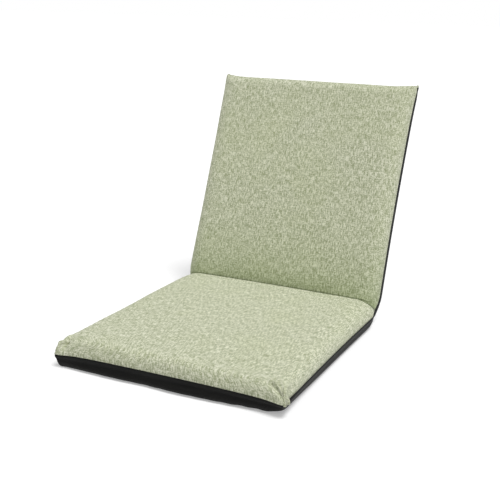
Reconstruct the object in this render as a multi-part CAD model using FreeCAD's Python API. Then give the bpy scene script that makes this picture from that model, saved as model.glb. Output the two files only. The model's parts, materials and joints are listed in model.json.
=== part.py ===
import FreeCAD
import Part
import math
import os

# Folding floor chair: a padded seat and a padded back of equal length, joined by a pair of
# ratchet hinges. The seat lies on the floor, the back stands at one of five angles.
# Millimetres, +Z up. The chair faces -Y, its right side as seen from the front is +X.
# The origin is the middle of the flat underside of the seat.

# Overall sizes, over the cloth
chair_width = 480.0
seat_length = 520.0
back_length = 520.0
pad_thickness = 60.0
rest_angle = 112.5

# Fold line. The back turns about it, and both pads end on it
fold_y = seat_length / 2
axis_z = 39.0
part_gap = 0.3
running_fit = 0.05

# Shape of a pad: where its seam runs, and how the cloth rounds over the foam
seam_height = 26.0
edge_round = 28.0
edge_tuck = 18.0
side_shoulder = 42.0
side_tuck = 20.0
shoulder_drop = 2.0
end_drop = 1.0
side_draw_in = 3.0
crease_dip = 2.0
crease_round = 30.0
bottom_cut = 0.5
cloth = 1.2
foam_clearance = 0.2
closing_angle = 15.0

# Where a pad's cross sections stand: angles round the crease and the far edge, shares between
crease_steps = (35.0, 62.0, 90.0)
length_shares = (0.25, 0.5, 0.75)
edge_steps = (90.0, 70.0, 52.0, 36.0, 22.0, 8.0)

# Steel frame
tube_radius = 9.5
tube_wall = 1.2
tube_z = 20.0
leg_inset = 45.0
frame_inset = 45.0
bend_radius = 55.0
flatten_run = 30.0
bar_radius = 6.0
bar_wall = 1.0
seat_bar_places = (130.0, 330.0)
back_bar_places = (130.0, 330.0)

# Ratchet hinge, all places measured from the hinge axis in the plane of the plates
plate_thickness = 3.4
cheek_thickness = 2.0
ring_thickness = 1.0
side_play = 0.2
pivot_radius = 4.0
cheek_radius = 17.0
tip_radius = 15.5
root_radius = 12.5
click_angle = 22.5
click_count = 5
catch_angle = 249.0
face_lean = 6.0
tip_land = 3.0
root_flat = 6.0
tooth_foot = 1.5
shoulder_angle = 305.0
pawl_place = (27.0, 215.0)
pawl_toe = 3.1
pawl_boss_radius = 6.0
pawl_rivet_radius = 2.5
pawl_lift = 14.0
tooth_play = 0.3
nose_play = 0.4
heel_play = 0.9
pawl_back = 2.0
lobe_radius = 16.2
lobe_start = 246.0
lobe_end = 252.0
ramp_end = 274.0
lobe_step = 2.0
spring_post_place = (-24.0, -29.0)
spring_post_radius = 3.0
spring_post_neck = 2.0
spring_post_rim = 6.0
spring_gauge = 0.6
spring_width = 4.0
spring_gap = 0.3
spring_reach = 0.85
spring_root_angle = -20.0

# Where the plates are riveted to the tubes
seat_end_u = 38.0
seat_rivet_places = (48.0, 68.0)
seat_flat_end_u = 82.0
back_end_u = 24.0
back_rivet_places = (35.0, 54.0)
back_flat_end_u = 66.0
arm_radius = 10.0
arm_clearance = 1.0
cheek_arm_radius = 12.5
cheek_end_radius = 11.5
frame_rivet_radius = 3.0
frame_head_radius = 5.0
frame_head_height = 1.6
small_head_radius = 4.0
pivot_head_radius = 7.0
pivot_head_height = 2.0
head_rounding = 0.7
pocket_clearance = 0.5
fold_pocket_radius = 31.0

# Zip on the hidden rear face of the back
zip_place_u = 70.0
zip_margin = 50.0
zip_width = 6.0
zip_height = 1.6
zip_crest = 4.2
slider_length = 14.0
slider_wall = 1.6
slider_roof = 1.4
slider_margin = 2.0
bridge_radius = 2.6
bridge_gauge = 0.7
bridge_sink = 0.4

# Worked out
leg_x = chair_width / 2 - leg_inset
zip_length = chair_width - 2 * zip_margin
recline = 180.0 - rest_angle
crease_lean = recline / 2
half_gap = plate_thickness / 2 + ring_thickness + 2 * side_play
cheek_face = half_gap + cheek_thickness
washer_thickness = ring_thickness + side_play
back_flat_half = plate_thickness / 2 + side_play / 2 + tube_wall
tube_drop = tube_z - axis_z
crease_u = (pad_thickness - end_drop - crease_dip - axis_z) * math.tan(math.radians(crease_lean))
pocket_half = cheek_face + pivot_head_height + pocket_clearance


def vec(x, y, z):
    return FreeCAD.Vector(x, y, z)


def polar(radius, angle):
    """Place in the hinge plane, from the axis; the angle is turned from rearwards to upwards."""
    return (radius * math.cos(math.radians(angle)), radius * math.sin(math.radians(angle)))


def hinge_point(place, x=0.0):
    return vec(x, fold_y + place[0], axis_z + place[1])


def turned(place, centre, angle):
    """A place in the hinge plane, turned about a centre."""
    c = math.cos(math.radians(angle))
    s = math.sin(math.radians(angle))
    dy = place[0] - centre[0]
    dz = place[1] - centre[1]
    return (centre[0] + c * dy - s * dz, centre[1] + s * dy + c * dz)


def box(x_low, y_low, z_low, x_high, y_high, z_high):
    return Part.makeBox(x_high - x_low, y_high - y_low, z_high - z_low, vec(x_low, y_low, z_low))


def plate(wire, x_low, x_high):
    """A flat piece: an outline in a YZ plane at x = 0, carried from x_low to x_high."""
    face = Part.Face(wire)
    face.translate(vec(x_low, 0, 0))
    return face.extrude(vec(x_high - x_low, 0, 0))


def plate_of_places(places, x_low, x_high):
    points = [hinge_point(place) for place in places]
    return plate(Part.makePolygon(points + points[:1]), x_low, x_high)


def disc(place, radius, x_low, x_high):
    return Part.makeCylinder(radius, x_high - x_low, hinge_point(place, x_low), vec(1, 0, 0))


def link(place_a, radius_a, place_b, radius_b, x_low, x_high):
    """Two discs and the web between their outer tangents."""
    dy = place_b[0] - place_a[0]
    dz = place_b[1] - place_a[1]
    towards = math.degrees(math.atan2(dz, dy))
    spread = math.degrees(math.acos((radius_a - radius_b) / math.hypot(dy, dz)))
    corners = []
    for centre, radius, sides in ((place_a, radius_a, (1, -1)), (place_b, radius_b, (-1, 1))):
        for side in sides:
            offset = polar(radius, towards + side * spread)
            corners.append((centre[0] + offset[0], centre[1] + offset[1]))
    web = plate_of_places(corners, x_low, x_high)
    ends = [disc(place_a, radius_a, x_low, x_high), disc(place_b, radius_b, x_low, x_high)]
    return web.fuse(ends)


def rivet_head(place, x, way, radius, height):
    """Low round head that stands on a face at x, rounded over at its rim."""
    cap = Part.makeCylinder(radius, height, hinge_point(place, x), vec(way, 0, 0))
    rim = [edge for edge in cap.Edges if abs(edge.CenterOfMass.x - x - way * height) < height / 4]
    return cap.makeFillet(height * head_rounding, rim)


def rivet(place, shank, x_low, x_high, head, head_height):
    """Rivet along X, headed at both ends."""
    heads = [rivet_head(place, x, way, head, head_height) for x, way in ((x_low, -1), (x_high, 1))]
    return disc(place, shank, x_low, x_high).fuse(heads)


def leaned(shape):
    """From lying flat behind the seat to the back's resting angle."""
    copy = shape.copy()
    copy.rotate(vec(0, fold_y, axis_z), vec(1, 0, 0), recline)
    return copy


def to_seat(shape):
    """What is built behind the fold line, reflected to lie in front of it."""
    return shape.mirror(vec(0, fold_y, 0), vec(0, 1, 0))


def to_left(shape):
    return shape.mirror(vec(0, 0, 0), vec(1, 0, 0))


# Pads. Each is built behind the fold line, lying flat; u is the distance from the fold line


def pad_section(pad_length, u, inset):
    """Outline across a pad: shoulders and crown over the seam, tucked sides under it."""
    along = 2 * u / pad_length - 1
    from_edge = pad_length - inset - u
    rise = math.sqrt(1 - max(0.0, 1 - from_edge / edge_round) ** 2)
    fall = math.sqrt(1 - max(0.0, 1 - from_edge / edge_tuck) ** 2)
    into_crease = min(1.0, max(0.0, (u - crease_u) / crease_round))
    dip = crease_dip * (1 - math.sqrt(1 - (1 - into_crease) ** 2))
    full = pad_thickness - end_drop * along ** 2 - dip - inset
    crown_z = seam_height + (full - seam_height) * rise
    shoulder_z = seam_height + (full - shoulder_drop - seam_height) * rise
    bottom_z = seam_height - (seam_height + bottom_cut - inset) * fall
    half = chair_width / 2 - side_draw_in * (1 - along ** 2) - inset
    shoulder_x = half - side_shoulder
    tuck_x = half - side_tuck
    part_way = 1 - math.cos(math.radians(45))
    height_way = math.sin(math.radians(45))
    y = fold_y + u
    bulge = (half - side_shoulder * part_way, seam_height + (shoulder_z - seam_height) * height_way)
    tuck = (half - side_tuck * part_way, seam_height - (seam_height - bottom_z) * height_way)
    seam_left = vec(-half, y, seam_height)
    seam_right = vec(half, y, seam_height)
    top_left = vec(-shoulder_x, y, shoulder_z)
    top_right = vec(shoulder_x, y, shoulder_z)
    low_left = vec(-tuck_x, y, bottom_z)
    low_right = vec(tuck_x, y, bottom_z)
    edges = [
        Part.Arc(seam_left, vec(-bulge[0], y, bulge[1]), top_left),
        Part.Arc(top_left, vec(0, y, crown_z), top_right),
        Part.Arc(top_right, vec(bulge[0], y, bulge[1]), seam_right),
        Part.Arc(seam_right, vec(tuck[0], y, tuck[1]), low_right),
        Part.LineSegment(low_right, low_left),
        Part.Arc(low_left, vec(-tuck[0], y, tuck[1]), seam_left),
    ]
    return Part.Wire([edge.toShape() for edge in edges])


def pad_form(pad_length, inset):
    """The whole pad as one loft, flat underneath; inset moves every face inwards."""
    stations = [-side_tuck, crease_u]
    stations += [crease_u + crease_round * (1 - math.cos(math.radians(a))) for a in crease_steps]
    stations += [pad_length * share for share in length_shares]
    far = pad_length - inset
    stations += [far - edge_round * (1 - math.cos(math.radians(a))) for a in edge_steps]
    sections = [pad_section(pad_length, u, inset) for u in stations]
    form = Part.makeLoft(sections, True, True)
    reach = chair_width
    return form.common(box(-reach, fold_y - reach, 0, reach, fold_y + 2 * pad_length, reach))


def behind_fold(pad_length, lean):
    """Space that a pad may fill: behind the fold line, and above the axis behind a leaning plane."""
    start = part_gap
    high = 2 * pad_thickness
    top = start + (high - axis_z) * math.tan(math.radians(lean))
    places = [(start, -2 * axis_z), (start, 0), (top, high - axis_z)]
    places += [(2 * pad_length, high - axis_z), (2 * pad_length, -2 * axis_z)]
    return plate_of_places(places, -chair_width, chair_width)


def cover(pad_length, upper):
    """One half of a pad's cloth, from the seam over the top, or from the seam round underneath."""
    shell = pad_form(pad_length, 0).cut(pad_form(pad_length, cloth))
    reach = chair_width
    if upper:
        half = box(-reach, fold_y - reach, seam_height, reach, fold_y + 2 * pad_length, reach)
        return shell.common(half).common(behind_fold(pad_length, crease_lean))
    half = box(-reach, fold_y - reach, -reach, reach, fold_y + 2 * pad_length, seam_height)
    return shell.common(half).common(behind_fold(pad_length, 0))


def foam(pad_length, upper, hollows):
    """One foam layer, cut back at the fold so that the pads can close on each other."""
    block = pad_form(pad_length, cloth + foam_clearance)
    reach = chair_width
    if upper:
        half = box(-reach, fold_y - reach, tube_z, reach, fold_y + 2 * pad_length, reach)
    else:
        half = box(-reach, fold_y - reach, -reach, reach, fold_y + 2 * pad_length, tube_z)
    layer = block.common(half).common(behind_fold(pad_length, 90 - closing_angle / 2))
    return layer.cut(hollows)


def sector(inner, outer, x_low, x_high):
    """Slice of a ring about the hinge axis, filling the wedge that the resting back leaves open."""
    first = 270.0 + math.degrees(part_gap / axis_z)
    last = 270.0 + recline - math.degrees(part_gap / axis_z)
    middle = (first + last) / 2
    near_first, near_last = hinge_point(polar(inner, first)), hinge_point(polar(inner, last))
    far_first, far_last = hinge_point(polar(outer, first)), hinge_point(polar(outer, last))
    edges = [
        Part.Arc(far_first, hinge_point(polar(outer, middle)), far_last),
        Part.LineSegment(far_last, near_last),
        Part.Arc(near_last, hinge_point(polar(inner, middle)), near_first),
        Part.LineSegment(near_first, far_first),
    ]
    return plate(Part.Wire([edge.toShape() for edge in edges]), x_low, x_high)


def fold_strip():
    """Cloth that goes round the back of the fold, with a gusset that closes the fold at each side."""
    half = chair_width / 2 - side_tuck
    strip = sector(axis_z - cloth, axis_z, -half, half)
    gusset = sector(pivot_radius, axis_z, half - cloth, half)
    return strip.fuse([gusset, to_left(gusset)]).removeSplitter()


# Frame


def tube_wire(u, half_x, half_z):
    """Tube section at u: a circle when the halves are equal, otherwise a flattened one."""
    y = fold_y + u
    if half_z - half_x < 1e-6:
        c = half_x * math.cos(math.radians(45))
        corner_x, corner_z = c, c
    else:
        corner_x, corner_z = half_x, half_z - half_x
    corners = [
        vec(leg_x + corner_x, y, tube_z - corner_z),
        vec(leg_x + corner_x, y, tube_z + corner_z),
        vec(leg_x - corner_x, y, tube_z + corner_z),
        vec(leg_x - corner_x, y, tube_z - corner_z),
    ]
    top = Part.Arc(corners[1], vec(leg_x, y, tube_z + half_z), corners[2]).toShape()
    bottom = Part.Arc(corners[3], vec(leg_x, y, tube_z - half_z), corners[0]).toShape()
    if half_z - half_x < 1e-6:
        right = Part.Arc(corners[0], vec(leg_x + half_x, y, tube_z), corners[1]).toShape()
        left = Part.Arc(corners[2], vec(leg_x - half_x, y, tube_z), corners[3]).toShape()
    else:
        right = Part.LineSegment(corners[0], corners[1]).toShape()
        left = Part.LineSegment(corners[2], corners[3]).toShape()
    return Part.Wire([right, top, left, bottom])


def frame_solid(pad_length, end_u, flat_end_u, half_flat, inset):
    """Bent tube with flattened ends, filled; inset is taken off all round, or added if negative."""
    radius = tube_radius - inset
    half_high = half_flat + math.pi * (tube_radius - half_flat) / 2
    far = pad_length - frame_inset
    straight = leg_x - bend_radius
    round_u = flat_end_u + flatten_run
    corner = bend_radius * math.sin(math.radians(45))
    path = []
    bends = []
    for side in (1, -1):
        leg_start = vec(side * leg_x, fold_y + round_u, tube_z)
        leg_end = vec(side * leg_x, fold_y + far - bend_radius, tube_z)
        middle = vec(side * (straight + corner), fold_y + far - bend_radius + corner, tube_z)
        turn_end = vec(side * straight, fold_y + far, tube_z)
        path.append(Part.LineSegment(leg_start, leg_end).toShape())
        bends.append(Part.Arc(leg_end, middle, turn_end).toShape())
    across_start = vec(straight, fold_y + far, tube_z)
    across_end = vec(-straight, fold_y + far, tube_z)
    across = Part.LineSegment(across_start, across_end).toShape()
    spine = Part.Wire([path[0], bends[0], across, bends[1], path[1]])
    ring = Part.Wire(Part.makeCircle(radius, vec(leg_x, fold_y + round_u, tube_z), vec(0, 1, 0)))
    body = spine.makePipeShell([ring], True, False)
    flat = Part.Face(tube_wire(end_u, half_flat - inset, half_high - inset))
    flat = flat.extrude(vec(0, flat_end_u - end_u, 0))
    flat_wire = tube_wire(flat_end_u, half_flat - inset, half_high - inset)
    press = Part.makeLoft([flat_wire, tube_wire(round_u, radius, radius)], True, True)
    end = flat.fuse(press)
    return body.fuse([end, to_left(end)])


def frame_tube(pad_length, end_u, flat_end_u, half_flat):
    outer = frame_solid(pad_length, end_u, flat_end_u, half_flat, 0)
    bore = frame_solid(pad_length, end_u, flat_end_u, half_flat, tube_wall)
    return outer.cut(bore)


def cross_bar(u, grow=0.0):
    """Tube between the legs, its ends shaped to the legs that it is welded to."""
    start = vec(-leg_x, fold_y + u, tube_z)
    bar = Part.makeCylinder(bar_radius + grow, 2 * leg_x, start, vec(1, 0, 0))
    if grow:
        return bar
    bar = bar.cut(Part.makeCylinder(bar_radius - bar_wall, 2 * leg_x, start, vec(1, 0, 0)))
    for side in (1, -1):
        foot = vec(side * leg_x, fold_y + u - 2 * bar_radius, tube_z)
        bar = bar.cut(Part.makeCylinder(tube_radius, 4 * bar_radius, foot, vec(0, 1, 0)))
    return bar


def slotted(tube):
    """Mouth of the back tube, cut away where the ratchet plate's arm slopes into it."""
    half = plate_thickness / 2 + side_play / 2
    near = (back_rivet_places[0], tube_drop)
    for side in (1, -1):
        x = side * leg_x
        arm = link((0, 0), root_radius + part_gap, near, arm_radius + part_gap, x - half, x + half)
        tube = tube.cut(arm)
    return tube


def riveted(shape, places):
    """Rivet holes along X through the right leg's piece; places are distances from the fold line."""
    bore = frame_rivet_radius + running_fit
    for u in places:
        shape = shape.cut(disc((u, tube_drop), bore, leg_x - pocket_half, leg_x + pocket_half))
    return shape


def riveted_frame(tube, places):
    """The same holes through both legs of a frame tube."""
    return to_left(riveted(to_left(riveted(tube, places)), places))


# Ratchet hinge, built on the right; the left one is its reflection


def cheek_outline(grow, x_low, x_high):
    """Slab in the shape of a cheek: round the axis, down to the spring's post, along the seat tube."""
    first, second = [(-u, tube_drop) for u in seat_rivet_places]
    post = spring_post_place
    slab = link((0, 0), cheek_radius + grow, post, spring_post_rim + grow, x_low, x_high)
    parts = [
        link((0, 0), cheek_radius + grow, first, cheek_arm_radius + grow, x_low, x_high),
        link(first, cheek_arm_radius + grow, second, cheek_end_radius + grow, x_low, x_high),
        link(post, spring_post_rim + grow, first, cheek_arm_radius + grow, x_low, x_high),
        plate_of_places([(0, 0), post, first], x_low, x_high),
    ]
    return slab.fuse(parts).removeSplitter()


def cheek(x_low, x_high):
    """Side plate of the hinge, riveted to the flattened end of the seat tube."""
    bores = [((0, 0), pivot_radius), (polar(*pawl_place), pawl_rivet_radius)]
    bores.append((spring_post_place, spring_post_neck))
    bores += [((-u, tube_drop), frame_rivet_radius) for u in seat_rivet_places]
    holes = [disc(place, radius + running_fit, x_low, x_high) for place, radius in bores]
    return cheek_outline(0, x_low, x_high).cut(holes)


def ratchet_plate():
    """Toothed disc with an arm that slides into the back tube's flattened end, back lying flat."""
    x_low = leg_x - plate_thickness / 2
    x_high = leg_x + plate_thickness / 2
    near, far = [(u, tube_drop) for u in back_rivet_places]
    inside = root_radius - tooth_foot
    pieces = [link((0, 0), root_radius, near, arm_radius, x_low, x_high)]
    pieces.append(link(near, arm_radius, far, arm_radius, x_low, x_high))
    for click in range(1, click_count):
        face = catch_angle - click * click_angle
        heel = face + click_angle - root_flat
        tip = face + face_lean
        tooth = [polar(inside, face), polar(root_radius, face), polar(tip_radius, tip)]
        tooth += [polar(tip_radius, tip + tip_land), polar(root_radius, heel), polar(inside, heel)]
        pieces.append(plate_of_places(tooth, x_low, x_high))
    middle = (catch_angle + shoulder_angle) / 2
    root = hinge_point(polar(root_radius, catch_angle))
    start = hinge_point(polar(tip_radius, catch_angle + face_lean))
    end = hinge_point(polar(tip_radius, shoulder_angle))
    root_start = hinge_point(polar(inside, catch_angle))
    root_end = hinge_point(polar(inside, shoulder_angle))
    shoulder = Part.Wire(
        [
            Part.LineSegment(root_start, root).toShape(),
            Part.LineSegment(root, start).toShape(),
            Part.Arc(start, hinge_point(polar(tip_radius, middle)), end).toShape(),
            Part.LineSegment(end, root_end).toShape(),
            Part.LineSegment(root_end, root_start).toShape(),
        ]
    )
    pieces.append(plate(shoulder, x_low, x_high))
    body = disc((0, 0), root_radius, x_low, x_high).fuse(pieces).removeSplitter()
    body = body.cut(disc((0, 0), pivot_radius + running_fit, x_low, x_high))
    return riveted(body, back_rivet_places)


def pawl_outline(lift):
    """Places round the pawl's lever, turned away from the teeth by the lift."""
    pivot = polar(*pawl_place)
    nose_radius = root_radius + nose_play
    lead = math.degrees(tooth_play / nose_radius)
    face = polar(nose_radius, catch_angle - lead)
    toe = polar(nose_radius, catch_angle - lead - pawl_toe)
    heel = polar(tip_radius + heel_play, catch_angle - click_angle + face_lean + tip_land + tooth_play)
    back = polar(tip_radius + pawl_back, catch_angle - lead + face_lean - tip_land / 2)
    rise = math.degrees(math.atan2(heel[1] - pivot[1], heel[0] - pivot[0]))
    fall = math.degrees(math.atan2(back[1] - pivot[1], back[0] - pivot[0]))
    over = polar(pawl_boss_radius, rise + 90)
    under = polar(pawl_boss_radius, fall - 90)
    places = [face, toe, heel, (pivot[0] + over[0], pivot[1] + over[1])]
    places += [(pivot[0] + under[0], pivot[1] + under[1]), back]
    return [turned(place, pivot, -lift) for place in places]


def pawl():
    """Catch that props the ratchet plate's teeth, stored lifted on the release ring."""
    x_low = leg_x - half_gap + side_play
    x_high = leg_x + half_gap - side_play
    pivot = polar(*pawl_place)
    lever = plate_of_places(pawl_outline(pawl_lift), x_low, x_high)
    body = lever.fuse(disc(pivot, pawl_boss_radius, x_low, x_high)).removeSplitter()
    return body.cut(disc(pivot, pawl_rivet_radius + running_fit, x_low, x_high))


def release_ring():
    """Cam ring on the pivot: its lobe holds the pawl up, its ramp lets the pawl down."""
    x_low = leg_x + plate_thickness / 2 + side_play
    low = root_radius - part_gap
    ramp_middle = polar((lobe_radius + low) / 2, (lobe_end + ramp_end) / 2)
    lobe_middle = polar(lobe_radius, (lobe_start + lobe_end) / 2)
    drop = lobe_start - lobe_step
    top = (ramp_end + drop + 360) / 2
    edges = [
        Part.LineSegment(hinge_point(polar(low, drop)), hinge_point(polar(lobe_radius, lobe_start))),
        Part.Arc(
            hinge_point(polar(lobe_radius, lobe_start)),
            hinge_point(lobe_middle),
            hinge_point(polar(lobe_radius, lobe_end)),
        ),
        Part.Arc(
            hinge_point(polar(lobe_radius, lobe_end)),
            hinge_point(ramp_middle),
            hinge_point(polar(low, ramp_end)),
        ),
        Part.Arc(
            hinge_point(polar(low, ramp_end)),
            hinge_point(polar(low, top)),
            hinge_point(polar(low, drop)),
        ),
    ]
    ring = plate(Part.Wire([edge.toShape() for edge in edges]), x_low, x_low + ring_thickness)
    return ring.cut(disc((0, 0), pivot_radius + running_fit, x_low, x_low + ring_thickness))


def friction_washer():
    x_low = leg_x - half_gap
    body = disc((0, 0), root_radius, x_low, x_low + washer_thickness)
    return body.cut(disc((0, 0), pivot_radius + running_fit, x_low, x_low + washer_thickness))


def pawl_spring():
    """Leaf spring: an eye round its post and a blade that ends just under the lifted pawl."""
    x_low = leg_x - spring_width / 2
    x_high = leg_x + spring_width / 2
    eye_bore = spring_post_radius + running_fit
    eye = disc(spring_post_place, eye_bore + spring_gauge, x_low, x_high)
    outline = pawl_outline(pawl_lift)
    near, far = outline[4], outline[5]
    along_y = near[0] + spring_reach * (far[0] - near[0])
    along_z = near[1] + spring_reach * (far[1] - near[1])
    tip = (along_y, along_z - spring_gap)
    side = polar(eye_bore + spring_gauge / 2, spring_root_angle)
    root = (spring_post_place[0] + side[0], spring_post_place[1] + side[1])
    along = math.degrees(math.atan2(tip[1] - root[1], tip[0] - root[0]))
    across = polar(spring_gauge, along - 90)
    blade = [root, tip, (tip[0] + across[0], tip[1] + across[1])]
    blade.append((root[0] + across[0], root[1] + across[1]))
    body = eye.fuse(plate_of_places(blade, x_low, x_high)).removeSplitter()
    return body.cut(disc(spring_post_place, eye_bore, x_low, x_high))


def hinge_pieces():
    """The right hinge's seat-side pieces, by name."""
    low = leg_x - cheek_face
    high = leg_x + cheek_face
    shank = frame_rivet_radius
    seat_rivets = [
        rivet((-u, tube_drop), shank, low, high, frame_head_radius, frame_head_height)
        for u in seat_rivet_places
    ]
    return {
        "cheek_outer": cheek(leg_x + half_gap, high),
        "cheek_inner": cheek(low, leg_x - half_gap),
        "pivot_rivet": rivet((0, 0), pivot_radius, low, high, pivot_head_radius, pivot_head_height),
        "friction_washer": friction_washer(),
        "pawl_rivet": rivet(
            polar(*pawl_place), pawl_rivet_radius, low, high, small_head_radius, frame_head_height
        ),
        "pawl_spring": pawl_spring(),
        "spring_post": rivet(
            spring_post_place, spring_post_neck, low, high, small_head_radius, frame_head_height
        ).fuse(disc(spring_post_place, spring_post_radius, leg_x - half_gap, leg_x + half_gap)),
        "seat_rivets": Part.makeCompound(seat_rivets),
        "pawl": pawl(),
        "release_ring": release_ring(),
    }


def back_rivets():
    low = leg_x - back_flat_half
    high = leg_x + back_flat_half
    rivets = [
        rivet((u, tube_drop), frame_rivet_radius, low, high, frame_head_radius, frame_head_height)
        for u in back_rivet_places
    ]
    return Part.makeCompound(rivets)


# Zip


def zip_chain():
    """Closed row of zip teeth as a low ridge on the rear cloth of the back."""
    half = zip_width / 2
    y = fold_y + zip_place_u
    points = [
        vec(-zip_length / 2, y - half, 0),
        vec(-zip_length / 2, y + half, 0),
        vec(-zip_length / 2, y + zip_crest / 2, -zip_height),
        vec(-zip_length / 2, y - zip_crest / 2, -zip_height),
    ]
    return Part.Face(Part.makePolygon(points + points[:1])).extrude(vec(zip_length, 0, 0))


def zip_slider():
    """Slider that straddles the zip, at the zip's left end."""
    y = fold_y + zip_place_u
    x_low = -zip_length / 2 + slider_margin
    x_high = x_low + slider_length
    inner = zip_width / 2 + part_gap
    outer = inner + slider_wall
    floor_z = -part_gap
    roof_z = -zip_height - part_gap
    points = [
        vec(x_low, y - outer, floor_z),
        vec(x_low, y - inner, floor_z),
        vec(x_low, y - inner, roof_z),
        vec(x_low, y + inner, roof_z),
        vec(x_low, y + inner, floor_z),
        vec(x_low, y + outer, floor_z),
        vec(x_low, y + outer, roof_z),
        vec(x_low, y + inner, roof_z - slider_roof),
        vec(x_low, y - inner, roof_z - slider_roof),
        vec(x_low, y - outer, roof_z),
    ]
    body = Part.Face(Part.makePolygon(points + points[:1])).extrude(vec(slider_length, 0, 0))
    centre = vec((x_low + x_high) / 2, y, roof_z - slider_roof + bridge_sink)
    bridge = Part.makeTorus(bridge_radius, bridge_gauge, centre, vec(0, 1, 0))
    keep = box(x_low, y - outer, -slider_length, x_high, y + outer, roof_z - slider_roof / 2)
    return body.fuse(bridge.common(keep))


def save(name, shape):
    solids = shape.Solids
    body = solids[0] if len(solids) == 1 else Part.makeCompound(solids)
    body.exportStep("parts/" + name + ".step")
    box_of = body.BoundBox
    print(
        name,
        "solids",
        len(solids),
        "volume",
        round(body.Volume),
        "valid",
        body.isValid(),
        "size",
        round(box_of.XLength, 1),
        round(box_of.YLength, 1),
        round(box_of.ZLength, 1),
    )


def build():
    os.makedirs("parts", exist_ok=True)

    seat_tube = frame_tube(seat_length, seat_end_u, seat_flat_end_u, half_gap)
    back_tube = slotted(frame_tube(back_length, back_end_u, back_flat_end_u, back_flat_half))
    save("seat_frame_tube", to_seat(riveted_frame(seat_tube, seat_rivet_places)))
    save("back_frame_tube", leaned(riveted_frame(back_tube, back_rivet_places)))
    for name, u in zip(("rear", "front"), seat_bar_places):
        save("seat_cross_bar_" + name, to_seat(cross_bar(u)))
    for name, u in zip(("lower", "upper"), back_bar_places):
        save("back_cross_bar_" + name, leaned(cross_bar(u)))

    for name, shape in hinge_pieces().items():
        save("right_" + name, shape)
        save("left_" + name, to_left(shape))
    for name, shape in (("ratchet_plate", ratchet_plate()), ("back_rivets", back_rivets())):
        save("right_" + name, leaned(shape))
        save("left_" + name, leaned(to_left(shape)))

    grow = -part_gap
    seat_hollows = [frame_solid(seat_length, seat_end_u, seat_flat_end_u, half_gap, grow)]
    seat_hollows += [cross_bar(u, part_gap) for u in seat_bar_places]
    pocket = to_seat(cheek_outline(pocket_clearance, leg_x - pocket_half, leg_x + pocket_half))
    seat_hollows += [pocket, to_left(pocket)]
    back_hollows = [frame_solid(back_length, back_end_u, back_flat_end_u, back_flat_half, grow)]
    back_hollows += [cross_bar(u, part_gap) for u in back_bar_places]
    for side in (1, -1):
        x_low = side * leg_x - pocket_half
        x_high = side * leg_x + pocket_half
        round_room = disc((0, 0), fold_pocket_radius, x_low, x_high)
        arm_low = tube_z - arm_radius - arm_clearance
        arm_room = box(x_low, fold_y, arm_low, x_high, fold_y + back_flat_end_u, axis_z)
        back_hollows += [round_room, arm_room]

    save("seat_foam_top", to_seat(foam(seat_length, True, seat_hollows)))
    save("seat_foam_base", to_seat(foam(seat_length, False, seat_hollows)))
    save("back_foam_front", leaned(foam(back_length, True, back_hollows)))
    save("back_foam_rear", leaned(foam(back_length, False, back_hollows)))
    save("seat_cover_top", to_seat(cover(seat_length, True)))
    save("seat_cover_base", to_seat(cover(seat_length, False)))
    save("back_cover_front", leaned(cover(back_length, True)))
    save("back_cover_rear", leaned(cover(back_length, False)))
    save("fold_strip", fold_strip())
    save("zip_chain", leaned(zip_chain()))
    save("zip_slider", leaned(zip_slider()))


build()
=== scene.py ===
# %% [markdown]
# Folding floor chair
# A floor chair is two flat cushions of equal size, joined by a fold. A steel tube frame with a
# pair of ratchet hinges is sewn inside them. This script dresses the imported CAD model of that
# chair. It sews the cloth round the frame, gives every piece of hardware a finish, and sets up
# a plain studio.

# %% Load the frame
import bmesh
import bpy
import json
import math
import numpy as np
from mathutils import Euler, Matrix, Vector


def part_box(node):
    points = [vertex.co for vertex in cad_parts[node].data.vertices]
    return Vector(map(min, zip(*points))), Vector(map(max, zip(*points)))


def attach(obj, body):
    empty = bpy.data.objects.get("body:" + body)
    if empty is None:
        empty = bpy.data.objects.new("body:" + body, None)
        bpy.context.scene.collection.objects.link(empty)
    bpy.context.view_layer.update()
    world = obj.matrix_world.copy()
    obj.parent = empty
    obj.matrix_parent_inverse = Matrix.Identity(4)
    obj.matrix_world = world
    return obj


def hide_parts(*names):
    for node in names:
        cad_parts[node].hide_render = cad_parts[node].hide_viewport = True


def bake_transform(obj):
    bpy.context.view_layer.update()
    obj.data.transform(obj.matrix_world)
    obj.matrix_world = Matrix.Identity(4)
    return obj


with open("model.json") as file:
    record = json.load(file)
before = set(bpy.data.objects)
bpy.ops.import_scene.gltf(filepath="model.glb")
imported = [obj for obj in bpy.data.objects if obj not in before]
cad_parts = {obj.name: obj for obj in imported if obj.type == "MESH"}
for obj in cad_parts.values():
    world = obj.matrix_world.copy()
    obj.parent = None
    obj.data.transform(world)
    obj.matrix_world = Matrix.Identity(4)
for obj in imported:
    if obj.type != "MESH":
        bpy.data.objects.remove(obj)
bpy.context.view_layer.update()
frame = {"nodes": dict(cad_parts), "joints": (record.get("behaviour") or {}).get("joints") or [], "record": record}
mm = 0.001

# %% [markdown]
# Driving sizes
# The cloth has to lie where the CAD cushions lie, so every driving size is read from the frame:
# the fold axis from its joint, and length, width, seam and thickness from the cushions' boxes.
# The back lies flat at the joint's lower limit, and that gives its lean at rest.

# %% Read the chair's sizes
fold = next(joint for joint in frame["joints"] if joint["name"] == "backrest_fold")
axis_y, axis_z = fold["pos_m"][1], fold["pos_m"][2]
recline = math.radians(-fold["range_deg"][0])
top_low, top_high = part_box("seat_cover_top")
pad_length = axis_y - top_low.y
half_width = top_high.x
thickness = top_high.z
seam_z = top_low.z
print("pad", round(pad_length, 4), "by", round(2 * half_width, 4), "by", round(thickness, 4), "m")

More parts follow.
